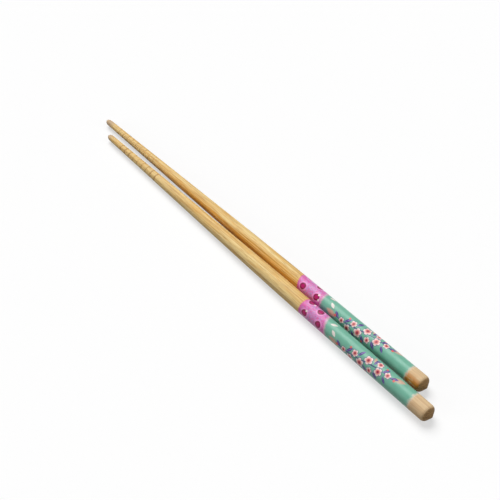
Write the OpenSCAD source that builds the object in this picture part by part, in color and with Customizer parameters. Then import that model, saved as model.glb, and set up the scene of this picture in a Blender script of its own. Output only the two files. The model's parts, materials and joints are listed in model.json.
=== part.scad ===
// A pair of round bamboo chopsticks with printed handles, lying side by side on a table.
// Each stick is one turned piece: a rounded tip, a straight taper with grip rings cut round it,
// a long curve that eases the taper into the straight handle, and an end turned to a low point.
// Lengths are in millimetres. The sticks lie along X, tips towards -X, on the plane Z = 0.

/* [Stick] */
// Length of each stick, from its tip to the point of its end
stick_length = 225; // [190:1:270]
// Diameter of the straight handle
handle_d = 7.3; // [6:0.1:9]
// Diameter at the tip, before the tip is rounded
tip_d = 2.9; // [2:0.1:4]
// Length of the handle, from where the taper carried on straight would meet it to the end
handle_length = 91; // [60:1:110]
// Length of the curve that eases the taper into the handle
ease_length = 60; // [20:1:90]
// Length of the rounding at the tip
tip_round = 2.8; // [0.4:0.1:4]
// Angle of the low cone on the end of the handle, from a flat end
end_angle = 31; // [10:1:45]
// Radius of the soft edge between the cone and the handle
end_edge = 1.8; // [0.3:0.1:2.5]
// Radius of the rounded point of the cone
end_nose = 1; // [0.3:0.1:3]

/* [Grip rings] */
// Number of rings cut round the slim end
ring_count = 9; // [1:1:14]
// Distance from the tip to the middle of the first ring
ring_start = 13; // [6:0.5:20]
// Distance from one ring to the next
ring_pitch = 3.75; // [2:0.05:5]
// Width of a ring at the surface
ring_width = 0.9; // [0.5:0.1:1.4]
// Depth of a ring
ring_depth = 0.15; // [0.1:0.05:0.4]

/* [Printed handle] */
// Bare bamboo between the print and the end of the handle
bare_end = 9.4; // [3:0.1:20]
// Length of the main field of the print
field_length = 49.4; // [20:0.1:80]
// Length of the band between the main field and the bare taper
band_length = 15; // [5:0.1:30]

/* [Pair] */
// How far the front stick lies ahead of the rear one
stagger = 11.2; // [0:0.1:40]
// Angle between the two sticks, which spread towards their handles
splay = 0.6; // [0:0.1:3]
// Gap between the two sticks where they come nearest
side_gap = 0.6; // [0.2:0.1:10]

/* [Hidden] */
bamboo_colour = "#dcb67c";
band_colour = "#d98cc0";
field_colour = "#7fc0a4";

// Fineness: sides of a turned form and of a ring's section, and steps along each curve
$fn = 30;
ring_sides = 16;
tip_steps = 8;
ease_steps = 12;
edge_steps = 6;
nose_steps = 4;
station_count = 225;
// An outline point nearer than this to a cut is left out, as the cut has a point of its own
point_room = 0.05;

// Taper and ease: a straight slope, then a parabola that is tangent to it and to the handle
taper_length = stick_length - handle_length;
taper_slope = (handle_d - tip_d)/2/taper_length;
ease_from = taper_length - ease_length/2;
ease_to = taper_length + ease_length/2;

// Where the fields of the print begin and end, measured from the tip
print_to = stick_length - bare_end;
field_from = print_to - field_length;
band_from = field_from - band_length;

// End: a cone, rounded at its edge and at its point by arcs that are tangent to it
nose_centre = stick_length - end_nose;
edge_r = handle_d/2 - end_edge;
edge_centre = nose_centre + (end_nose - end_edge - edge_r*sin(end_angle))/cos(end_angle);

// Ring cutter: a circle that is ring_width wide where it crosses the surface
ring_r = (pow(ring_width/2, 2) + pow(ring_depth, 2))/2/ring_depth;

// A stick lies on the spot under its centre of mass, so its tip and its end are both just clear
stations = [for (i = [0:station_count]) stick_length*i/station_count];
areas = [for (x = stations) pow(radius_at(x), 2)];
balance = areas*stations/(areas*[for (x = stations) 1]);
rest_tilt = atan(slope_at(balance));
rest_height = radius_at(balance)*cos(rest_tilt) - balance*sin(rest_tilt);

// The sticks lie as close together, at mid length, as the gap at their nearest point allows
mid_spacing = max([for (x = stations)
    radius_at(x - stagger/2) + radius_at(x + stagger/2) + side_gap
    - (2*x - stick_length)*tan(splay/2)]);

// Radius of the stick at a distance from its tip, without the roundings at the two ends
function radius_at(x) =
    x < ease_from ? tip_d/2 + taper_slope*x :
    x < ease_to ? handle_d/2 - taper_slope*pow(ease_to - x, 2)/(2*ease_length) :
    handle_d/2;

// Growth of that radius per millimetre
function slope_at(x) = taper_slope*max(0, min(1, (ease_to - x)/ease_length));

// Outline from the tip to the end, as points [radius, distance from the tip]
tip_points = [for (i = [0:tip_steps])
    let (a = 90*i/tip_steps) [radius_at(tip_round)*sin(a), tip_round*(1 - cos(a))]];
ease_points = [for (i = [0:ease_steps])
    let (x = ease_from + ease_length*i/ease_steps) [radius_at(x), x]];
edge_points = [for (i = [0:edge_steps])
    let (a = 90 + (end_angle - 90)*i/edge_steps)
    [edge_r + end_edge*sin(a), edge_centre + end_edge*cos(a)]];
nose_points = [for (i = [0:nose_steps])
    let (a = end_angle*(1 - i/nose_steps)) [end_nose*sin(a), nose_centre + end_nose*cos(a)]];
outline = concat(tip_points, ease_points, edge_points, nose_points);

// The part of that outline between two distances from the tip, closed along the axis
function outline_between(from, to) = concat(
    from > 0 ? [[0, from], [radius_at(from), from]] : [],
    [for (p = outline)
        if ((from == 0 || p.y > from + point_room)
            && (to == stick_length || p.y < to - point_room)) p],
    to < stick_length ? [[radius_at(to), to], [0, to]] : []);

// Stretch of the turned stick between two distances from the tip, standing on Z
module stretch(from, to) {
    rotate_extrude() polygon(outline_between(from, to));
}

// Cutter for one grip ring
module ring_cut(x) {
    rotate_extrude()
        translate([radius_at(x) - ring_depth + ring_r, x]) circle(ring_r, $fn = ring_sides);
}

// One stick, standing on its tip
module chopstick() {
    color(bamboo_colour) difference() {
        stretch(0, band_from);
        for (i = [0:ring_count - 1]) ring_cut(ring_start + ring_pitch*i);
    }
    color(band_colour) stretch(band_from, field_from);
    color(field_colour) stretch(field_from, print_to);
    color(bamboo_colour) stretch(print_to, stick_length);
}

// A stick laid down on the table: side is -1 for the front one, 1 for the rear one
module laid(side) {
    translate([-side*stagger/2, side*mid_spacing/2, rest_height])
        rotate([0, 0, side*splay/2])
        translate([-stick_length/2*cos(rest_tilt), 0, 0])
        rotate([0, 90 - rest_tilt, 0])
        children();
}

module front_chopstick() {
    laid(-1) chopstick();
}

module rear_chopstick() {
    laid(1) chopstick();
}

front_chopstick();
rear_chopstick();
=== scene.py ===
"""Dresses a pair of bamboo chopsticks and sets them on a pale floor.

Each stick is a surface of revolution along the axis of its handle: a rounded tip, a straight taper with
grip rings, a parabola that eases the taper into the straight handle, and an end turned to a low point. Its
material is worked out from the place on the stick, in millimetres from the tip, across and up: bamboo grain
all over, end grain on the point, and on the handle a dotted pink band and a mint field with sprays of
blossoms.
"""

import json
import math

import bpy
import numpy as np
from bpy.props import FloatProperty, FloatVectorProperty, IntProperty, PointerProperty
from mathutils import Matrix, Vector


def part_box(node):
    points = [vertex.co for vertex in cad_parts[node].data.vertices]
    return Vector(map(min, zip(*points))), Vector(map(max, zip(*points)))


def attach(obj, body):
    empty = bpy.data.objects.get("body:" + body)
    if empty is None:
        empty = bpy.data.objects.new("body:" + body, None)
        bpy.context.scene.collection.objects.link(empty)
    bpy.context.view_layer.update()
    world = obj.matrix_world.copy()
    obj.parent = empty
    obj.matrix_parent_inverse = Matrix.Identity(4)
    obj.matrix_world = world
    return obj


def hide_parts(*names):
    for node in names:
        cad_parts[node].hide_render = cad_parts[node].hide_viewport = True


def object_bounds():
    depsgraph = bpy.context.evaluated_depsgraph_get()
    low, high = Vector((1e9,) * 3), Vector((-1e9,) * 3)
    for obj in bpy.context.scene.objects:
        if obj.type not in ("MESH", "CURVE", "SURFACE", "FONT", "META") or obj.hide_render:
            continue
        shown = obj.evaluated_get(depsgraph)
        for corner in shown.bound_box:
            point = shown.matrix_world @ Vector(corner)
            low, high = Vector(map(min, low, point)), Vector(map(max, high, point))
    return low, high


bl_info = {
    "name": "Bamboo Chopsticks",
    "version": (1, 0, 0),
    "blender": (4, 5, 0),
    "location": "View3D > Sidebar > Chopsticks",
    "description": "Adds a pair of bamboo chopsticks with printed handles, and a stage to show them on",
    "category": "Add Mesh",
}

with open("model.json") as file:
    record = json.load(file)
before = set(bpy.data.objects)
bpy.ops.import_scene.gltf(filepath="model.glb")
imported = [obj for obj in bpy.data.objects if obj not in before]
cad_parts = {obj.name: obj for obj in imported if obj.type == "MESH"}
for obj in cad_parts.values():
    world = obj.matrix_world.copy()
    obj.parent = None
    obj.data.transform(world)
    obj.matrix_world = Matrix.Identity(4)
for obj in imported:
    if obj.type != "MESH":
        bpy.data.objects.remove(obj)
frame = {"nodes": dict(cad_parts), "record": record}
CAD_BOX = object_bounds()

MM = 0.001
MOUNTS = {mount["name"]: mount for mount in frame["record"]["mounts"]}
# Each stick: the solid it stands for, the mount on its handle, and the name of the dressed piece
STICKS = (
    ("front_chopstick", "front_handle", "front_bamboo_stick"),
    ("rear_chopstick", "rear_handle", "rear_bamboo_stick"),
)
# Both handles are alike, so the front one's mount gives the radius of both, in millimetres
HANDLE_RADIUS = MOUNTS["front_handle"]["dims"]["r_mm"]
HALF_GIRTH = math.pi * HANDLE_RADIUS

# Corners round a stick, and rows of points along the stretches of its outline, both ends counted
SIDES = 112
TIP_ROWS = 14
RING_ROWS = 21
EDGE_ROWS = 13
FLANK_ROWS = 6
NOSE_ROWS = 7
# Waves that sanding leaves: metres along the stick to a radian, waves round it, and shift between sticks
SANDING = ((0.019, 2, 1), (0.031, -1, 2), (0.047, 3, 0))
# Flat map of a stick's skin: lengths that it is cut into, and the margin round each as a share of its room
STACKS = 3
MARGIN = 0.02
# Attribute that holds the place on a stick
PLACE = "stick_place"
# Rays that show the white background: straight to the camera, off a shiny surface and through a clear one
SEEN_BY = ("Camera", "Glossy", "Transmission")
# Width of the camera's sensor in millimetres, and how near the camera sees, in metres
SENSOR = 36
NEAREST = 0.01

# Grain of the bamboo: features to a millimetre along the fibres and across them, and octaves of detail
GRAIN = {
    "streaks": (0.022, 0.75, 3.0),
    "blotches": (0.11, 0.6, 2.0),
    "lines": (0.012, 2.4, 2.0),
    "fibres": (0.09, 4.2, 3.0),
    "bundles": (0.16, 3.1, 1.0),
}
# How far apart in the grain the two sticks are cut
GRAIN_SHIFT = 37.0
# Angle from the top of each stick's skin side, and how much its warm tone shows
SKIN_SIDES = ((1.0, 0.12), (-1.8, 0.92))
# Grip rings of each stick: the one stained most, how many on until that comes round again, and its share
RING_STAINS = ((0, 8, 0.6), (2, 12, 0.14))
# How far up from the tip each stick is greyer, in millimetres
GREY_TIPS = (5.0, 8.0)
# How much amber wood and painted gap shade each bare end shows, and the angle of that side from the top
AMBER_AND_SHADE_ENDS = (0.1, 0.95)
AMBER_AND_SHADE_SIDE = -1.9
# Angle from the top at which the print's askew edges cross their middle
LEAN = -0.58
# Depth of the grain's relief in metres, and how shiny the lacquer is
RELIEF = 0.00003
LACQUER = {"IOR": 1.46, "Specular IOR Level": 0.32}

# Motifs of the print are in millimetres: x along the stick from where the band or field begins, y round it
# Dots: x, y
DOTS = (
    (3.5, 0), (12.0, 0), (2.7, 6.34), (9.2, 5.27),
    (7.4, -6.05), (13.2, -8.6), (2.2, -10.5), (11.6, 10.5),
)
# White flecks beside the dots of each stick, and white petals on the field: x, y, angle
FLECKS = (((3.7, 1.1, 0.5), (4.1, 6.2, -0.3)), ((12.0, 1.1, 0.5), (13.3, -0.1, -0.9)))
FALLEN = ((1.6, 3.9, 0.5), (4.2, 2.5, -0.5), (5.6, -8.4, 0.9))
# Their shapes: length, width, softness of the edge, and how far they cover the ground
FLECK_SHAPE = {"long": 1.2, "wide": 0.9, "soft": 0.07, "share": 0.95}
FALLEN_SHAPE = {"long": 3.2, "wide": 1.3, "soft": 0.15, "share": 0.85}
# Line that the spray lies along, as its y
SPRAY_AT = 1.2
# Branch of the spray: both ends, its width, and its wave as millimetres to a radian and swing to each side
BRANCH_ENDS = (8.5, 38.5)
BRANCH_WIDTH = 0.4
BRANCH_WAVE = 8.5
BRANCH_SWING = 2.0
# Blossoms of the spray: x, y, radius, angle
BLOSSOMS = (
    (13.0, -2.0, 1.45, 0.3), (16.8, -3.3, 1.9, 1.1), (18.6, 0.2, 1.6, 0.0),
    (22.2, -1.7, 2.1, 0.7), (25.2, 1.7, 2.0, 0.2), (27.6, -1.6, 1.5, 0.9),
    (30.2, 3.5, 1.6, 0.5), (31.4, 0.5, 1.9, 0.1), (35.6, 2.0, 1.5, 0.8),
)
# Leaves of the spray, and soft petals behind it: x, y, angle, length
LEAVES = (
    (11.2, -2.0, 2.6, 3.2), (14.6, -1.6, 0.9, 3.6), (19.4, -2.6, -0.9, 3.6), (20.4, 0.3, 1.2, 3.6),
    (24.2, -1.4, -0.8, 3.6), (28.2, 1.6, 1.5, 3.4), (29.4, -0.9, -0.6, 3.6), (33.2, 1.6, 1.1, 3.4),
    (34.0, 0.4, -0.7, 3.2), (37.2, 2.1, 0.4, 3.4),
)
SOFT_PETALS = (
    (9.6, -2.6, 3.0, 5.5), (38.0, 2.6, 0.35, 5.5), (21.0, -2.8, -2.2, 3.0), (28.0, 2.4, 2.1, 3.0),
)
# Width of a leaf and of a soft petal, as a share of its length
LEAF_WIDTH = 0.36
SOFT_PETAL_WIDTH = 0.4
# Buds of the spray: x, y, radius
BUDS = ((9.2, -2.0, 0.6), (39.0, 2.0, 0.55), (15.6, 1.0, 0.5), (25.6, -3.6, 0.55), (33.6, 4.0, 0.5))


def srgb(red, green, blue):
    """A colour given as 8-bit screen values, in the linear values that shaders take."""
    share = np.array((red, green, blue)) / 255
    linear = np.where(share <= 0.04045, share / 12.92, ((share + 0.055) / 1.055) ** 2.4)
    return tuple(float(value) for value in linear)


def length(label, text, default):
    """A length in metres that a user may change."""
    return FloatProperty(name=label, description=text, default=default, unit="LENGTH", precision=5)


def turn(label, text, default):
    """An angle that a user may change, given here in degrees."""
    return FloatProperty(name=label, description=text, default=math.radians(default), subtype="ANGLE")


def strength(label, text, default):
    """The strength of a light, which a user may change."""
    return FloatProperty(name=label, description=text, default=default, min=0)


def portion(label, text, default):
    """A share from 0 to 1 that a user may change."""
    return FloatProperty(name=label, description=text, default=default, subtype="FACTOR", min=0, max=1)


def paint(label, text, *screen):
    """A colour that a user may change, given here as 8-bit screen values."""
    return FloatVectorProperty(
        name=label, description=text, default=srgb(*screen), subtype="COLOR", size=3, min=0, max=1
    )


def each(label, text, front, rear, unit="LENGTH"):
    """A measure that the front stick and the rear stick have each for itself."""
    return FloatVectorProperty(
        name=label, description=text, default=(front, rear), size=2, unit=unit, precision=5
    )


class StickSizes(bpy.types.PropertyGroup):
    """Sizes of one turned stick."""

    handle_d: length("Handle diameter", "Diameter of the straight handle", 2 * HANDLE_RADIUS * MM)
    tip_d: length("Tip diameter", "Diameter at the tip, before the tip is rounded", 0.0029)
    handle_length: length("Handle length", "From where the taper would meet the handle to the end", 0.091)
    ease_length: length("Ease length", "Length of the curve between the taper and the handle", 0.060)
    tip_round: length("Tip rounding", "Length of the rounding at the tip", 0.0028)
    end_angle: turn("End angle", "Angle of the low cone on the handle's end, from a flat end", 31)
    end_edge: length("End edge", "Radius of the soft edge between the cone and the handle", 0.0018)
    end_nose: length("End nose", "Radius of the rounded point of the cone", 0.001)
    ring_count: IntProperty(name="Rings", description="Number of grip rings near the tip", default=9, min=1)
    ring_start: length("First ring", "From the tip to the middle of the first ring", 0.013)
    ring_pitch: length("Ring pitch", "From one ring to the next", 0.00375)
    ring_width: length("Ring width", "Width of a ring at the surface", 0.0009)
    ring_depth: length("Ring depth", "Depth of a ring", 0.00015)
    hollow: length("Hand finish", "How deep the shallow waves are that sanding leaves", 0.00002)


class PrintLayout(bpy.types.PropertyGroup):
    """Where the print on the handles begins and ends, and the sizes of its dots."""

    bare_end: length("Bare end", "Bare bamboo between the print and the end", 0.0094)
    field_length: length("Field length", "Length of the mint field", 0.0494)
    band_length: length("Band length", "Length of the dotted band", 0.015)
    dot_d: length("Dot", "Diameter of a dot on the band", 0.0030)
    dot_ring_d: length("Dot ring", "Outer diameter of the pale ring round a dot", 0.0044)
    turned: each("Turn", "How far the print is turned to the front", 1.213, 0.733, unit="ROTATION")
    band_slant: each("Band slant", "How far the band's first edge runs askew", 0.0, 0.0013)
    slant: each("Slant", "How far the edge between band and field runs askew", 0.0018, 0.0006)
    spread: each("Spread", "How far the field runs on past its end", -0.00045, 0.0004)


class StickColours(bpy.types.PropertyGroup):
    """Colours of the bamboo and of the print."""

    pale: paint("Pale bamboo", "Soft wood between the fibres", 246, 220, 156)
    tan: paint("Tan bamboo", "Common tone of the bamboo", 228, 188, 114)
    skin: paint("Skin side", "Denser, warmer wood near the skin of the culm", 230, 165, 58)
    fibre: paint("Fibre", "Dark lines and dashes of the fibres, and stains in the rings", 165, 113, 58)
    worn: paint("Tip", "Greyer wood of the tip", 190, 164, 138)
    cream: paint("Bare end", "Drier wood of the bare end", 214, 187, 157)
    # Painted shade as well as amber wood: on the rear stick this tone stands in for the shade of the gap
    amber_and_painted_shade: paint("Amber wood", "Deeper, warmer wood on the front of a bare end", 208, 122, 24)
    cut: paint("End grain", "Cut fibres on the pointed end", 200, 160, 108)
    pore: paint("Pores", "Dark pores of the end grain", 92, 58, 34)
    pink: paint("Band", "Ground of the dotted band", 217, 96, 172)
    lilac: paint("Band mottling", "Paler patches of the band", 200, 148, 200)
    speck: paint("Band specks", "Warm specks of the band", 240, 92, 142)
    magenta: paint("Dot", "Rims of the dots on the band", 122, 0, 52)
    heart: paint("Dot heart", "Brighter middles of the dots", 184, 4, 104)
    ring: paint("Dot ring", "Pale rings round the dots", 236, 146, 206)
    mint: paint("Field", "Ground of the main field", 118, 182, 159)
    moss: paint("Field mottling", "Deeper patches of the field", 100, 168, 140)
    indigo: paint("Leaf", "Dark leaves, branch and calyxes of the spray", 70, 50, 118)
    violet: paint("Leaf vein", "Veins of the dark leaves", 146, 122, 206)
    coral: paint("Petal heart", "Inner part of the petals, buds, and the band's first edge", 226, 100, 94)
    white: paint("Petal", "Outer part of the petals, flecks, and worn edges of the print", 244, 228, 222)
    crimson: paint("Blossom heart", "Middle of a blossom", 150, 28, 58)
    peach: paint("Soft petal", "Petals that fade into the field", 222, 170, 146)


class StageSettings(bpy.types.PropertyGroup):
    """Camera, light and floor."""

    azimuth: turn("Azimuth", "Side that the camera looks from, 0 being the front", 51.57)
    elevation: turn("Elevation", "Height of the camera above the horizon", 43.15)
    distance: length("Distance", "From the camera to the point that it looks at", 0.4638)
    target: FloatVectorProperty(
        name="Target", description="Point on the floor in the middle of the picture",
        default=(0.0002, 0.002, 0), subtype="TRANSLATION",
    )
    lens: FloatProperty(name="Lens", description="Focal length of the camera", default=75, unit="CAMERA")
    light_spread: turn("Light spread", "How wide each of the three soft lights is", 45)
    key_azimuth: turn("Key azimuth", "Side that the key light comes from", -108)
    key_elevation: turn("Key elevation", "Height of the key light", 60)
    key_strength: strength("Key", "Strength of the key light", 2.96)
    side_azimuth: turn("Side azimuth", "Side that the weaker light comes from", 105)
    side_elevation: turn("Side elevation", "Height of the weaker light", 38)
    side_strength: strength("Side", "Strength of the weaker light", 0.4)
    front_azimuth: turn("Front azimuth", "Side that the low front light comes from", -10)
    front_elevation: turn("Front elevation", "Height of the low front light", 15)
    front_strength: strength("Front", "Strength of the low front light", 0.75)
    fill: portion("Fill", "Strength of the even light from all round", 0.02)
    floor_glow: portion("Glow", "Share of the floor's white that no shadow dims", 0.6)
    floor_bounce: portion("Bounce", "Share of light that the floor throws back", 0.15)
    floor_size: length("Floor size", "Side of the square floor", 6.0)


def connect(tree, socket, value):
    """Links a field or an output socket to an input socket, or sets the input to a plain value."""
    if isinstance(value, Field):
        value = value.socket
    if isinstance(value, bpy.types.NodeSocket):
        tree.links.new(value, socket)
    elif socket.type == "RGBA":
        socket.default_value = (*value[:3], 1)
    else:
        socket.default_value = value


class Field:
    """A number that varies over a surface: an output socket whose arithmetic adds math nodes."""

    def __init__(self, tree, socket):
        self.tree = tree
        self.socket = socket

    def apply(self, operation, *values):
        """The result of a math node on the given values."""
        node = self.tree.nodes.new("ShaderNodeMath")
        node.operation = operation
        for socket, value in zip(node.inputs, values):
            connect(self.tree, socket, value)
        return Field(self.tree, node.outputs[0])

    def __add__(self, other):
        return self.apply("ADD", self, other)

    __radd__ = __add__

    def __sub__(self, other):
        return self.apply("SUBTRACT", self, other)

    def __rsub__(self, other):
        return self.apply("SUBTRACT", other, self)

    def __mul__(self, other):
        return self.apply("MULTIPLY", self, other)

    def __truediv__(self, other):
        return self.apply("DIVIDE", self, other)

    def sine(self):
        return self.apply("SINE", self)

    def cosine(self):
        return self.apply("COSINE", self)

    def size(self):
        """This field without its sign."""
        return self.apply("ABSOLUTE", self)

    def whole(self):
        """This field rounded to whole numbers."""
        return self.apply("ROUND", self)

    def hypot(self, other):
        """Root of the two fields' squares added up."""
        return self.apply("SQRT", self * self + other * other)

    def angle_from(self, other):
        """Angle whose sine goes with this field and whose cosine goes with the other."""
        return self.apply("ARCTAN2", self, other)

    def wrap(self, half):
        """This field folded into the range from -half to half."""
        return self.apply("WRAP", self, half, -half)

    def either(self, other):
        """The larger of the two fields."""
        return self.apply("MAXIMUM", self, other)

    def over(self, edge, soft):
        """0 below the edge and 1 above it, with a smooth step that is twice soft wide."""
        node = self.tree.nodes.new("ShaderNodeMapRange")
        node.interpolation_type = "SMOOTHSTEP"
        for name, value in (("Value", self), ("From Min", edge - soft), ("From Max", edge + soft)):
            connect(self.tree, node.inputs[name], value)
        return Field(self.tree, node.outputs["Result"])

    def under(self, edge, soft):
        """1 below the edge and 0 above it."""
        return 1 - self.over(edge, soft)

    def between(self, low, high, soft):
        """1 from low to high and 0 elsewhere."""
        return self.over(low, soft) * self.under(high, soft)


class Nodes:
    """A node tree under construction: each method adds nodes and returns what they give out."""

    def __init__(self, tree):
        self.tree = tree
        tree.nodes.clear()

    def node(self, kind, inputs=None, **settings):
        """A node of that kind, with its settings, and its inputs linked or set."""
        node = self.tree.nodes.new(kind)
        for name, value in settings.items():
            setattr(node, name, value)
        for name, value in (inputs or {}).items():
            connect(self.tree, node.inputs[name], value)
        return node

    def place(self):
        """Distance from the tip, across and up, in millimetres, as three fields."""
        attribute = self.node("ShaderNodeAttribute", attribute_name=PLACE)
        parts = self.node("ShaderNodeSeparateXYZ", {"Vector": attribute.outputs["Vector"]})
        return [Field(self.tree, socket) for socket in parts.outputs]

    def point(self, x, y, z=0.0):
        """A vector made of three fields."""
        return self.node("ShaderNodeCombineXYZ", {"X": x, "Y": y, "Z": z}).outputs["Vector"]

    def noise(self, point, detail=2.0, roughness=0.5):
        """Smooth noise at a point, about 0 to 1, with features one unit wide."""
        inputs = {"Vector": point, "Scale": 1.0, "Detail": detail, "Roughness": roughness}
        return Field(self.tree, self.node("ShaderNodeTexNoise", inputs).outputs[0])

    def pores(self, point):
        """Distance to the nearest of many scattered points, about one unit apart."""
        node = self.node("ShaderNodeTexVoronoi", {"Vector": point, "Scale": 1.0}, voronoi_dimensions="2D")
        return Field(self.tree, node.outputs["Distance"])

    def seen(self):
        """1 for rays that show what the camera sees, straight or by a shiny or clear surface, or else 0."""
        path = self.node("ShaderNodeLightPath").outputs
        camera, shiny, clear = (Field(self.tree, path[f"Is {kind} Ray"]) for kind in SEEN_BY)
        return camera.either(shiny).either(clear)

    def mix(self, share, first, second):
        """The second colour laid over the first by a share from 0 to 1."""
        node = self.node("ShaderNodeMix", data_type="RGBA")
        share_in, first_in, second_in = (node.inputs[i] for i in (0, 6, 7))
        for socket, value in ((share_in, share), (first_in, first), (second_in, second)):
            connect(self.tree, socket, value)
        return node.outputs[2]

    def print_with(self, stamp, ground, x, y, **numbers):
        """The ground colour with a motif stamped on it."""
        inputs = {"ground": ground, "x": x, "y": y, **numbers}
        return self.node("ShaderNodeGroup", node_tree=stamp, inputs=inputs).outputs["colour"]


class Stamp(Nodes):
    """A motif of the print as a node group: takes a ground colour and gives it back with the motif on."""

    def __init__(self, name, *numbers):
        super().__init__(bpy.data.node_groups.new(name, "ShaderNodeTree"))
        face = self.tree.interface
        for label in ("x", "y", "at_x", "at_y", *numbers):
            face.new_socket(label, in_out="INPUT", socket_type="NodeSocketFloat")
        face.new_socket("ground", in_out="INPUT", socket_type="NodeSocketColor")
        face.new_socket("colour", in_out="OUTPUT", socket_type="NodeSocketColor")
        self.given = self.node("NodeGroupInput").outputs
        self.x = self.number("x") - self.number("at_x")
        self.y = self.number("y") - self.number("at_y")

    def number(self, label):
        """One of the numbers that the group is given."""
        return Field(self.tree, self.given[label])

    def close(self, colour):
        """Ends the group with a colour and returns its tree."""
        self.node("NodeGroupOutput", {"colour": colour})
        return self.tree


def new_material(name):
    """An empty material and the nodes to build it with."""
    material = bpy.data.materials.new(name)
    material.use_nodes = True
    return material, Nodes(material.node_tree)


def turned_radius(x, total, sizes):
    """Radius at distances x from the tip, without the roundings at the two ends.

    A straight line from the tip's radius, then a parabola tangent to it and to the handle, then a constant.
    """
    taper = total - sizes.handle_length
    slope = (sizes.handle_d - sizes.tip_d) / 2 / taper
    ease_from = taper - sizes.ease_length / 2
    ease_to = taper + sizes.ease_length / 2
    parabola = sizes.handle_d / 2 - slope * np.square(ease_to - x) / (2 * sizes.ease_length)
    handle = np.where(x < ease_to, parabola, sizes.handle_d / 2)
    return np.where(x < ease_from, sizes.tip_d / 2 + slope * x, handle)


def ring_depths(x, sizes):
    """Depth of the grip rings at distances x from the tip.

    A ring is cut by a circle that is ring_width wide where it crosses the surface: the depth is its half
    chord at that distance from the ring's middle, less the height of its centre above the surface.
    """
    number = np.clip(np.round((x - sizes.ring_start) / sizes.ring_pitch), 0, sizes.ring_count - 1)
    off = x - sizes.ring_start - number * sizes.ring_pitch
    radius = (sizes.ring_width**2 / 4 + sizes.ring_depth**2) / 2 / sizes.ring_depth
    chord = np.sqrt(np.maximum(radius**2 - np.square(off), 0))
    return np.maximum(chord - (radius - sizes.ring_depth), 0)


def end_arcs(total, sizes):
    """Middles of the two arcs of a stick's end: distance and radius of the edge's, distance of the nose's.

    Both arcs touch the cone's flank, so their middles lie at their own radii from it, along its normal.
    """
    nose_middle = total - sizes.end_nose
    edge_radius = sizes.handle_d / 2 - sizes.end_edge
    between = sizes.end_nose - sizes.end_edge - edge_radius * math.sin(sizes.end_angle)
    return nose_middle + between / math.cos(sizes.end_angle), edge_radius, nose_middle


def stick_outline(total, sizes):
    """Distances from the tip and radii of the rows of a stick, from the tip's pole to the pole of its end.

    The tip is a quarter ellipse. The end is a cone, rounded at its edge and at its point by arcs that are
    tangent to it. Rows between them are a millimetre apart, and closer at the grip rings.
    """
    quarter = np.linspace(0, np.pi / 2, TIP_ROWS)
    tip_radius = turned_radius(sizes.tip_round, total, sizes)
    tip = np.stack([sizes.tip_round * (1 - np.cos(quarter)), tip_radius * np.sin(quarter)])

    edge_middle, edge_radius, nose_middle = end_arcs(total, sizes)
    bend = np.linspace(np.pi / 2, sizes.end_angle, EDGE_ROWS)
    edge_x = edge_middle + sizes.end_edge * np.cos(bend)
    edge = np.stack([edge_x, edge_radius + sizes.end_edge * np.sin(bend)])
    sweep = np.linspace(sizes.end_angle, 0, NOSE_ROWS)
    nose = np.stack([nose_middle + sizes.end_nose * np.cos(sweep), sizes.end_nose * np.sin(sweep)])
    flank = edge[:, -1:] + (nose[:, :1] - edge[:, -1:]) * np.linspace(0, 1, FLANK_ROWS)[1:-1]

    rings = sizes.ring_start + sizes.ring_pitch * np.arange(sizes.ring_count)
    near_ring = rings[:, None] + sizes.ring_width * np.linspace(-0.6, 0.6, RING_ROWS)[None, :]
    even = np.linspace(sizes.tip_round, edge_middle, round((edge_middle - sizes.tip_round) / MM))[1:-1]
    x = np.unique(np.round(np.concatenate([even, near_ring.ravel()]), 8))
    body = np.stack([x, turned_radius(x, total, sizes) - ring_depths(x, sizes)])
    return np.concatenate([tip, body, edge, flank, nose], axis=1)


def hand_finish(x, angle, seed):
    """How far sanding has lowered the surface, from 0 to 1: three long waves along and round the stick."""
    waves = sum(np.sin(x / reach + turns * angle + shift * seed) for reach, turns, shift in SANDING)
    return 0.5 + waves / (2 * len(SANDING))


def stick_frame(node, mount):
    """Tip, length and the three directions of a stick: along its axis, across to the left, and up.

    The axis is that of the handle's mount. The tip and the end are where it leaves the solid's box.
    """
    low, high = (np.array(corner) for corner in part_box(node))
    along = np.array(MOUNTS[mount]["axis"])
    along /= np.linalg.norm(along)
    on_axis = np.array(MOUNTS[mount]["pos_m"])
    tip = on_axis + along * (low[0] - on_axis[0]) / along[0]
    across = np.cross((0, 0, 1), along)
    across /= np.linalg.norm(across)
    total = (high[0] - low[0]) / along[0]
    return tip, total, along, across, np.cross(along, across)


def slit_skin(x, radius):
    """Flat map of a stick's skin, for its corners in the order of its faces.

    The skin is slit along the underside and cut into equal lengths, which lie one above the other. Distance
    along a length is measured on the outline, so the end keeps its true share.
    """
    run = np.concatenate([[0], np.cumsum(np.hypot(np.diff(x), np.diff(radius)))])
    run /= run[-1]
    column = np.arange(SIDES)
    room = 1 - 2 * MARGIN

    def lay(row, turn_share):
        """Map of corners at a share of the run and a count of columns round the stick."""
        row, turn_share = np.broadcast_arrays(row, turn_share)
        piece = np.floor(row.mean(-1, keepdims=True) * STACKS)
        u = MARGIN + room * (row * STACKS - piece)
        v = (piece + MARGIN + room * turn_share / SIDES) / STACKS
        return np.stack([u, v], -1).reshape(-1, 2)

    low, high = run[1:-2], run[2:-1]
    rows = np.stack([low, high, high, low], -1)[:, None]
    quads = lay(rows, np.stack([column, column, column + 1, column + 1], -1)[None])
    tip_fan = lay(np.array([0, run[1], run[1]]), np.stack([column + 0.5, column, column + 1], -1))
    # The end's pole is a hair short of 1, so that it stays in the last length
    end_fan = lay(np.array([1 - 1e-9, run[-2], run[-2]]), np.stack([column + 0.5, column + 1, column], -1))
    return np.concatenate([quads, tip_fan, end_fan])


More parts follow.
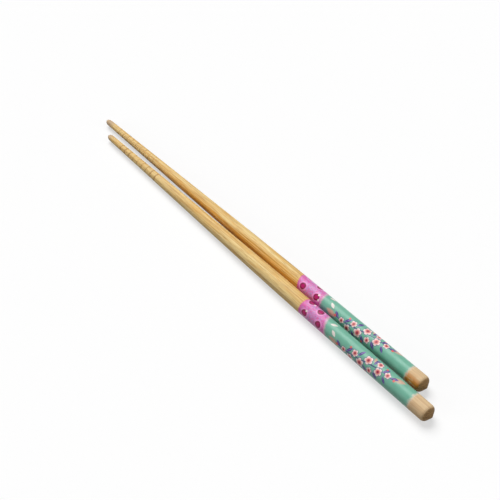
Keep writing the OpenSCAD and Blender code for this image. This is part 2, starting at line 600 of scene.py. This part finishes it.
def stick_mesh(name, node, mount, sizes, seed):
    """Mesh of a stick and its length: its outline turned round the axis, closed at both poles by fans.

    A point is the tip, plus the distance along the axis, plus the radius times the sine of the angle across
    and times its cosine upwards. The same three numbers in millimetres are kept as the place on the stick.
    """
    tip, total, along, across, up = stick_frame(node, mount)
    x, radius = stick_outline(total, sizes)
    angle = 2 * np.pi * np.arange(SIDES) / SIDES - np.pi
    row_x, row_angle = np.meshgrid(x[1:-1], angle, indexing="ij")
    row_radius = radius[1:-1, None] - sizes.hollow * hand_finish(row_x, row_angle, seed)
    row_across = row_radius * np.sin(row_angle)
    row_up = row_radius * np.cos(row_angle)
    rows = np.stack([row_x, row_across, row_up], -1).reshape(-1, 3)
    local = np.concatenate([rows, [(x[0], 0, 0), (x[-1], 0, 0)]])
    points = tip + local @ np.stack([along, across, up])

    index = np.arange(len(rows)).reshape(len(x) - 2, SIDES)
    beside = np.roll(index, -1, axis=1)
    quads = np.stack([index[:-1], index[1:], beside[1:], beside[:-1]], -1).reshape(-1, 4)
    tip_pole = np.full(SIDES, len(rows))
    tip_fan = np.stack([tip_pole, index[0], beside[0]], -1)
    end_fan = np.stack([tip_pole + 1, beside[-1], index[-1]], -1)

    mesh = bpy.data.meshes.new(name)
    mesh.from_pydata(points.tolist(), [], quads.tolist() + tip_fan.tolist() + end_fan.tolist())
    mesh.polygons.foreach_set("use_smooth", np.ones(len(mesh.polygons), bool))
    place = mesh.attributes.new(PLACE, "FLOAT_VECTOR", "POINT")
    place.data.foreach_set("vector", (local / MM).astype(np.float32).ravel())
    skin = mesh.uv_layers.new(name="OFBake")
    skin.data.foreach_set("uv", slit_skin(x, radius).astype(np.float32).ravel())
    mesh.update()
    return mesh, total


def bamboo(nodes, spot, sizes, colours, number):
    """Colour, roughness and relief of bare bamboo.

    Fibres run along the stick, so all grain is noise that is drawn out along it: broad streaks, warm
    blotches, long pale and dark lines, fine fibres and short dark bundles. The lower front is painted
    paler, which is painted light from below; one side of the culm is denser and warmer, the slim end is
    warmer all round, and the tip is greyer.
    """
    along, across, up = spot
    angle = across.angle_from(up)

    def grain(stretch, fine, detail):
        """Noise drawn out along the stick."""
        point = nodes.point(along * stretch + GRAIN_SHIFT * number, across * fine, up * fine)
        return nodes.noise(point, detail, 0.55)

    streaks, blotches, lines, fibres, bundles = (grain(*shape) for shape in GRAIN.values())
    # Painted light: the lower front of each stick is made paler, standing in for the light that reaches it
    # from below
    painted_light_below = (angle + 2.0).cosine().over(0.35, 0.5)
    colour = nodes.mix((streaks - painted_light_below * 0.14).over(0.47, 0.2), colours.pale, colours.tan)
    colour = nodes.mix(along.under(70.0, 45.0) * streaks * 0.25, colour, colours.skin)
    skin_at, skin_share = SKIN_SIDES[number]
    side = (angle - skin_at).cosine() + (lines - 0.5) * 1.7
    colour = nodes.mix(side.over(0.38, 0.40) * along.over(55.0, 25.0) * skin_share, colour, colours.skin)
    past_tip = along.over(45.0, 20.0) * 0.6 + 0.4
    colour = nodes.mix(blotches.over(0.58, 0.06) * past_tip * 0.36, colour, colours.skin)
    colour = nodes.mix(lines.over(0.57, 0.05) * 0.42, colour, colours.fibre)
    colour = nodes.mix(lines.under(0.43, 0.05) * 0.50, colour, colours.pale)
    colour = nodes.mix(fibres.over(0.55, 0.16) * 0.34, colour, colours.fibre)
    colour = nodes.mix(bundles.over(0.66, 0.05) * past_tip * 0.5, colour, colours.fibre)
    colour = stained_rings(nodes, spot, sizes, colours, colour, number)
    colour = nodes.mix((along + streaks * 4).under(GREY_TIPS[number], 2.5) * 0.8, colour, colours.worn)

    roughness = fibres * 0.2 + 0.48
    relief = fibres * 0.6 + bundles.under(0.66, 0.05) * 0.4
    return colour, roughness, relief


def stained_rings(nodes, spot, sizes, colours, colour, number):
    """Bamboo colour with the brown that the grip rings hold, in patches and more in some than in others."""
    along, across, up = spot
    pitch = sizes.ring_pitch / MM
    start = sizes.ring_start / MM
    in_rings = along.between(start - pitch / 2, start + pitch * (sizes.ring_count - 0.5), 0.1)
    ring = (along - start).wrap(pitch / 2).size().under(sizes.ring_width / MM * 0.4, 0.2) * in_rings
    ring_number = ((along - start) / pitch).whole()
    strongest, period, share = RING_STAINS[number]
    stain = (((ring_number - strongest) * (2 * math.pi / period)).cosine() + 1) * (share / 2)
    patchy = nodes.noise(nodes.point(ring_number * 1.7, across * 0.5, up * 0.5), 1.0).over(0.45, 0.15)
    return nodes.mix(ring * (stain * patchy + 0.06), colour, colours.fibre)


def bare_end(nodes, spot, print_to, colours, colour, number):
    """Bamboo colour with the bare end's drier wood, amber in patches on its front: partly wood, partly
    painted shade.
    """
    along, across, up = spot
    at_end = along.over(print_to - 2.0, 2.0)
    colour = nodes.mix(at_end * 0.6, colour, colours.cream)
    patches = nodes.noise(nodes.point(along * 0.3, across * 0.6, up * 0.6), 2.0).over(0.44, 0.12)
    # Painted shade and amber wood: the patches lie on the lower front, which on the rear stick faces the
    # shaded gap
    amber_and_shade_side = (across.angle_from(up) - AMBER_AND_SHADE_SIDE).cosine().over(0.35, 0.5)
    return nodes.mix(at_end * patches * amber_and_shade_side * AMBER_AND_SHADE_ENDS[number], colour, colours.amber_and_painted_shade)


def end_grain(nodes, spot, total, sizes, colours, colour):
    """Bamboo colour with the cut fibres that show on the pointed end and on the tip."""
    along, across, up = spot
    pores = nodes.pores(nodes.point(across * 2.5, up * 2.5)).under(0.28, 0.16)
    clouds = nodes.noise(nodes.point(across * 0.45, up * 1.3), 2.0).over(0.5, 0.15)
    cut = nodes.mix(pores * 0.4 + clouds * 0.35, colours.cut, colours.pore)
    face_from = (end_arcs(total, sizes)[0] + sizes.end_edge * 0.62) / MM
    colour = nodes.mix(along.over(face_from, 0.22), colour, cut)
    return nodes.mix(along.under(0.3, 0.25) * 0.5, colour, cut)


def dot_stamp(colours):
    """A dot in a pale ring, its outline wavering by a given amount."""
    stamp = Stamp("dot", "radius", "ring", "waver")
    radius = stamp.number("radius")
    off = stamp.x.hypot(stamp.y.wrap(HALF_GIRTH)) + stamp.number("waver")
    colour = stamp.mix(off.under(stamp.number("ring"), 0.2) * 0.9, stamp.given["ground"], colours.ring)
    ink = stamp.mix(off.under(radius * 0.62, 0.35), colours.magenta, colours.heart)
    return stamp.close(stamp.mix(off.under(radius, 0.12), colour, ink))


def leaf_stamp(name, blade_colour, vein_colour):
    """A pointed leaf or petal with a vein, as the space between two parabolas on its length."""
    stamp = Stamp(name, "angle", "long", "wide", "soft", "share")
    cosine = stamp.number("angle").cosine()
    sine = stamp.number("angle").sine()
    reach = (stamp.x * cosine + stamp.y * sine) / stamp.number("long")
    aside = (stamp.y * cosine - stamp.x * sine).size()
    blade = (reach * (1 - reach) * stamp.number("wide") * 2 - aside).over(0.0, stamp.number("soft"))
    blade = blade * stamp.number("share")
    colour = stamp.mix(blade, stamp.given["ground"], blade_colour)
    return stamp.close(stamp.mix(aside.under(0.10, 0.05) * blade, colour, vein_colour))


def bud_stamp(colours):
    """A round bud."""
    stamp = Stamp("bud", "radius")
    bud = stamp.x.hypot(stamp.y).under(stamp.number("radius"), 0.07)
    return stamp.close(stamp.mix(bud, stamp.given["ground"], colours.coral))


def blossom_stamp(colours):
    """A five-petalled blossom: round petals on a dark calyx.

    The angle round its middle is folded into a fifth of a turn, so that one round petal makes all five.
    """
    stamp = Stamp("blossom", "radius", "angle")
    radius = stamp.number("radius")
    off = stamp.x.hypot(stamp.y)
    fold = (stamp.y.angle_from(stamp.x) + stamp.number("angle")).wrap(math.pi / 5)
    petal = (off * fold.cosine() - radius * 0.58).hypot(off * fold.sine())
    calyx = petal.under(radius * 0.47, 0.07).either(off.under(radius * 0.6, 0.07))
    colour = stamp.mix(calyx, stamp.given["ground"], colours.indigo)
    blush = stamp.mix(off.over(radius * 0.54, radius * 0.3), colours.coral, colours.white)
    colour = stamp.mix(petal.under(radius * 0.37, 0.07), colour, blush)
    return stamp.close(stamp.mix(off.under(radius * 0.22, 0.07), colour, colours.crimson))


def print_stamps(colours):
    """The motifs that the print is made of."""
    return {
        "dot": dot_stamp(colours),
        "leaf": leaf_stamp("leaf", colours.indigo, colours.violet),
        "petal": leaf_stamp("petal", colours.white, colours.white),
        "soft_petal": leaf_stamp("soft_petal", colours.peach, colours.peach),
        "bud": bud_stamp(colours),
        "blossom": blossom_stamp(colours),
    }


def dotted_band(nodes, x, y, layout, colours, stamps, flecks):
    """Colour of the band: mottled pink, with magenta dots in pale rings and a few white flecks."""
    patches = nodes.noise(nodes.point(x * 0.45, y * 0.45, 11.0), 3.0, 0.6)
    grit = nodes.noise(nodes.point(x * 1.7, y * 1.7, 5.0), 2.0)
    middle = x.between(3.5, 12.5, 3.0) * 0.08
    mottling = (patches * 0.4 + grit * 0.6 + middle).over(0.55, 0.05)
    colour = nodes.mix(mottling, colours.pink, colours.lilac)
    specks = nodes.noise(nodes.point(x * 1.5, y * 1.5, 8.0), 1.0).over(0.60, 0.04)
    colour = nodes.mix(specks * 0.55, colour, colours.speck)
    waver = (nodes.noise(nodes.point(x * 1.2, y * 1.2, 3.0)) - 0.5) * 0.2
    shape = {"radius": layout.dot_d / MM / 2, "ring": layout.dot_ring_d / MM / 2, "waver": waver}
    for at_x, at_y in DOTS:
        colour = nodes.print_with(stamps["dot"], colour, x, y, at_x=at_x, at_y=at_y, **shape)
    for at_x, at_y, angle in flecks:
        shape = {"angle": angle, **FLECK_SHAPE}
        colour = nodes.print_with(stamps["petal"], colour, x, y, at_x=at_x, at_y=at_y, **shape)
    return colour


def flowered_field(nodes, x, y, field, colours, stamps):
    """Colour of the field, and its clouds: mottled mint with two sprays of blossoms on opposite sides.

    Half of the girth is folded onto the other half, and turned end for end, so one spray makes both.
    """
    clouds = nodes.noise(nodes.point(x * 0.35, y * 0.35, 2.0), 3.0, 0.6)
    colour = nodes.mix(clouds.over(0.5, 0.25) * 0.4, colours.mint, colours.moss)
    for at_x, at_y, angle in FALLEN:
        shape = {"angle": angle, **FALLEN_SHAPE}
        colour = nodes.print_with(stamps["petal"], colour, x, y, at_x=at_x, at_y=at_y, **shape)

    facing = ((y - SPRAY_AT) / HALF_GIRTH).whole().size().under(0.5, 0.1)
    side = (y - SPRAY_AT).wrap(HALF_GIRTH / 2)
    run = x * facing + (field - x) * (1 - facing)
    for at_x, at_y, angle, long in SOFT_PETALS:
        shape = {"angle": angle, "long": long, "wide": long * SOFT_PETAL_WIDTH, "soft": 0.45, "share": 0.8}
        colour = nodes.print_with(stamps["soft_petal"], colour, run, side, at_x=at_x, at_y=at_y, **shape)
    bend = ((run - sum(BRANCH_ENDS) / 2) / BRANCH_WAVE).sine() * BRANCH_SWING
    branch = (side - bend).size().under(BRANCH_WIDTH / 2, 0.08) * run.between(*BRANCH_ENDS, 0.3)
    colour = nodes.mix(branch, colour, colours.indigo)
    for at_x, at_y, angle, long in LEAVES:
        shape = {"angle": angle, "long": long, "wide": long * LEAF_WIDTH, "soft": 0.07, "share": 1.0}
        colour = nodes.print_with(stamps["leaf"], colour, run, side, at_x=at_x, at_y=at_y, **shape)
    for at_x, at_y, radius in BUDS:
        colour = nodes.print_with(stamps["bud"], colour, run, side, at_x=at_x, at_y=at_y, radius=radius)
    for at_x, at_y, radius, angle in BLOSSOMS:
        shape = {"radius": radius, "angle": angle}
        colour = nodes.print_with(stamps["blossom"], colour, run, side, at_x=at_x, at_y=at_y, **shape)
    return colour, clouds


def print_stations(total, layout):
    """Millimetres from the tip to where the band begins, the field begins and the print ends."""
    print_to = (total - layout.bare_end) / MM
    field_from = print_to - layout.field_length / MM
    return field_from - layout.band_length / MM, field_from, print_to


def print_edges(nodes, spot, layout, number):
    """Distance from the tip as the band's first edge, the field's first edge and the print's end see it.

    All three are a little ragged, the first two run askew, and the last two are worn to speckles.
    """
    along, across, up = spot
    ragged = along + (nodes.noise(nodes.point(along * 0.8, across * 1.1, up * 1.1), 3.0) - 0.5) * 0.6
    speckle = nodes.noise(nodes.point(along * 1.4, across * 1.6, up * 1.6), 3.0) - 0.5
    lean = (across.angle_from(up) - LEAN).sine()
    begun = ragged + lean * (layout.band_slant[number] / MM)
    faded = ragged + lean * (layout.slant[number] / MM) + speckle * 2.2
    worn = ragged + speckle * 2.4 - layout.spread[number] / MM
    return begun, faded, worn


def stick_material(name, total, sizes, layout, colours, stamps, number):
    """Material of a stick: bamboo, its bare end and end grain, and the print laid over it.

    The print's first edge is coral, and both edges of its field are worn to a little white.
    """
    material, nodes = new_material(name)
    spot = nodes.place()
    along, across, up = spot
    band_from, field_from, print_to = print_stations(total, layout)
    turned = across.angle_from(up) + layout.turned[number]
    girth_at = (turned * (sizes.handle_d / MM / 2)).wrap(HALF_GIRTH)

    colour, roughness, relief = bamboo(nodes, spot, sizes, colours, number)
    colour = bare_end(nodes, spot, print_to, colours, colour, number)
    colour = end_grain(nodes, spot, total, sizes, colours, colour)

    begun, faded, worn = print_edges(nodes, spot, layout, number)
    in_band = begun.over(band_from, 0.10) * faded.under(field_from + 1.3, 0.1)
    in_field = faded.over(field_from + 0.1, 1.0) * worn.under(print_to, 0.5)
    printed = in_band.either(in_field)

    band = dotted_band(nodes, along - band_from, girth_at, layout, colours, stamps, FLECKS[number])
    band = nodes.mix(begun.under(band_from + 0.3, 0.25) * 0.5, band, colours.coral)
    field_long = print_to - field_from
    field, clouds = flowered_field(nodes, along - field_from, girth_at, field_long, colours, stamps)
    colour = nodes.mix(in_field, nodes.mix(in_band, colour, band), field)
    worn_end = worn.between(print_to - 0.5, print_to + 0.6, 0.6)
    worn_start = faded.between(field_from - 0.6, field_from + 0.3, 0.5)
    colour = nodes.mix((worn_end + worn_start) * 0.3, colour, colours.white)

    roughness = roughness * (1 - printed) + printed * (clouds * 0.10 + 0.29)
    height = relief * (1 - printed * 0.8)
    bump = nodes.node("ShaderNodeBump", {"Height": height, "Strength": 0.5, "Distance": RELIEF})
    inputs = {"Base Color": colour, "Roughness": roughness, "Normal": bump.outputs["Normal"], **LACQUER}
    shader = nodes.node("ShaderNodeBsdfPrincipled", inputs)
    nodes.node("ShaderNodeOutputMaterial", {"Surface": shader.outputs["BSDF"]})
    return material


def floor_material(stage):
    """Plain pale floor: white in the picture where no shadow falls, and duller in what it throws back."""
    material, nodes = new_material("pale_floor")
    lit = nodes.node("ShaderNodeBsdfDiffuse", {"Color": (1 - stage.floor_glow,) * 3})
    glow = nodes.node("ShaderNodeEmission", {"Color": (1, 1, 1), "Strength": stage.floor_glow})
    shown = nodes.node("ShaderNodeAddShader", {0: lit.outputs["BSDF"], 1: glow.outputs["Emission"]})
    bounced = nodes.node("ShaderNodeBsdfDiffuse", {"Color": (stage.floor_bounce,) * 3})
    shares = {0: nodes.seen(), 1: bounced.outputs["BSDF"], 2: shown.outputs["Shader"]}
    both = nodes.node("ShaderNodeMixShader", shares)
    nodes.node("ShaderNodeOutputMaterial", {"Surface": both.outputs["Shader"]})
    return material


def direction(azimuth, elevation):
    """Unit vector from the object towards a side and a height."""
    return Vector((
        math.sin(azimuth) * math.cos(elevation),
        -math.cos(azimuth) * math.cos(elevation),
        math.sin(elevation),
    ))


def aim(thing, towards):
    """Turns a camera or a light to look along a direction, upright."""
    thing.rotation_euler = towards.to_track_quat("-Z", "Y").to_euler()


class CHOPSTICKS_OT_add_pair(bpy.types.Operator):
    """Add both chopsticks, each in the place of its solid"""

    bl_idname = "chopsticks.add_pair"
    bl_label = "Add Chopsticks"
    bl_options = {"REGISTER", "UNDO"}

    def execute(self, context):
        scene = context.scene
        sizes, layout, colours = scene.stick_sizes, scene.print_layout, scene.stick_colours
        stamps = print_stamps(colours)
        for number, (node, mount, name) in enumerate(STICKS):
            if node not in frame["nodes"] or mount not in MOUNTS:
                raise RuntimeError(f"the frame has no {node}, or no {mount} on it")
            mesh, total = stick_mesh(name, node, mount, sizes, number)
            finish = name.replace("stick", "finish")
            mesh.materials.append(stick_material(finish, total, sizes, layout, colours, stamps, number))
            stick = bpy.data.objects.new(name, mesh)
            scene.collection.objects.link(stick)
            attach(stick, "root")
            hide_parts(node)
        return {"FINISHED"}


class CHOPSTICKS_OT_add_stage(bpy.types.Operator):
    """Add the floor, the light and the camera"""

    bl_idname = "chopsticks.add_stage"
    bl_label = "Add Stage"
    bl_options = {"REGISTER", "UNDO"}

    def execute(self, context):
        scene = context.scene
        stage = scene.stage_settings
        self.add_floor(scene, stage)
        self.add_light(scene, stage)
        self.add_camera(scene, stage)
        scene.view_settings.view_transform = "Standard"
        return {"FINISHED"}

    def add_floor(self, scene, stage):
        """Square floor at the foot of the solids."""
        half = stage.floor_size / 2
        level = CAD_BOX[0].z
        corners = [(-half, -half, level), (half, -half, level), (half, half, level), (-half, half, level)]
        mesh = bpy.data.meshes.new("floor")
        mesh.from_pydata(corners, [], [(0, 1, 2, 3)])
        mesh.materials.append(floor_material(stage))
        floor = bpy.data.objects.new("floor", mesh)
        scene.collection.objects.link(floor)

    def add_light(self, scene, stage):
        """Three soft lamps, and a world that is white to the camera and gives little light."""
        lamps = (
            ("key_light", stage.key_azimuth, stage.key_elevation, stage.key_strength),
            ("side_light", stage.side_azimuth, stage.side_elevation, stage.side_strength),
            ("front_light", stage.front_azimuth, stage.front_elevation, stage.front_strength),
        )
        for name, azimuth, elevation, energy in lamps:
            light = bpy.data.lights.new(name, "SUN")
            light.energy = energy
            light.angle = stage.light_spread
            lamp = bpy.data.objects.new(name, light)
            aim(lamp, -direction(azimuth, elevation))
            scene.collection.objects.link(lamp)

        world = bpy.data.worlds.new("even_light")
        world.use_nodes = True
        nodes = Nodes(world.node_tree)
        level = nodes.seen() * (1 - stage.fill) + stage.fill
        light = nodes.node("ShaderNodeBackground", {"Color": (1, 1, 1), "Strength": level})
        nodes.node("ShaderNodeOutputWorld", {"Surface": light.outputs["Background"]})
        scene.world = world

    def add_camera(self, scene, stage):
        """Camera that looks at the target from its side and height."""
        camera = bpy.data.cameras.new("camera")
        camera.lens = stage.lens
        camera.sensor_width = SENSOR
        camera.clip_start = NEAREST
        viewer = bpy.data.objects.new("camera", camera)
        back = direction(stage.azimuth, stage.elevation)
        viewer.location = Vector(stage.target) + back * stage.distance
        aim(viewer, -back)
        scene.collection.objects.link(viewer)
        scene.camera = viewer


class VIEW3D_PT_chopsticks(bpy.types.Panel):
    """Sizes, colours and stage of the chopsticks"""

    bl_label = "Chopsticks"
    bl_space_type = "VIEW_3D"
    bl_region_type = "UI"
    bl_category = "Chopsticks"

    def draw(self, context):
        for name in SETTINGS:
            box = self.layout.box()
            group = getattr(context.scene, name)
            box.label(text=name.replace("_", " ").title())
            for prop in group.bl_rna.properties:
                if prop.identifier not in ("rna_type", "name"):
                    box.prop(group, prop.identifier)
        self.layout.operator(CHOPSTICKS_OT_add_pair.bl_idname)
        self.layout.operator(CHOPSTICKS_OT_add_stage.bl_idname)


SETTINGS = {
    "stick_sizes": StickSizes,
    "print_layout": PrintLayout,
    "stick_colours": StickColours,
    "stage_settings": StageSettings,
}
CLASSES = (*SETTINGS.values(), CHOPSTICKS_OT_add_pair, CHOPSTICKS_OT_add_stage, VIEW3D_PT_chopsticks)


def register():
    """Registers the classes and hangs each group of settings on the scene."""
    for cls in CLASSES:
        bpy.utils.register_class(cls)
    for name, group in SETTINGS.items():
        setattr(bpy.types.Scene, name, PointerProperty(type=group))


def unregister():
    """Undoes register, in reverse."""
    for name in SETTINGS:
        delattr(bpy.types.Scene, name)
    for cls in reversed(CLASSES):
        bpy.utils.unregister_class(cls)


def main():
    """Adds the pair and the stage."""
    register()
    bpy.ops.chopsticks.add_pair()
    bpy.ops.chopsticks.add_stage()


if __name__ == "__main__":
    main()
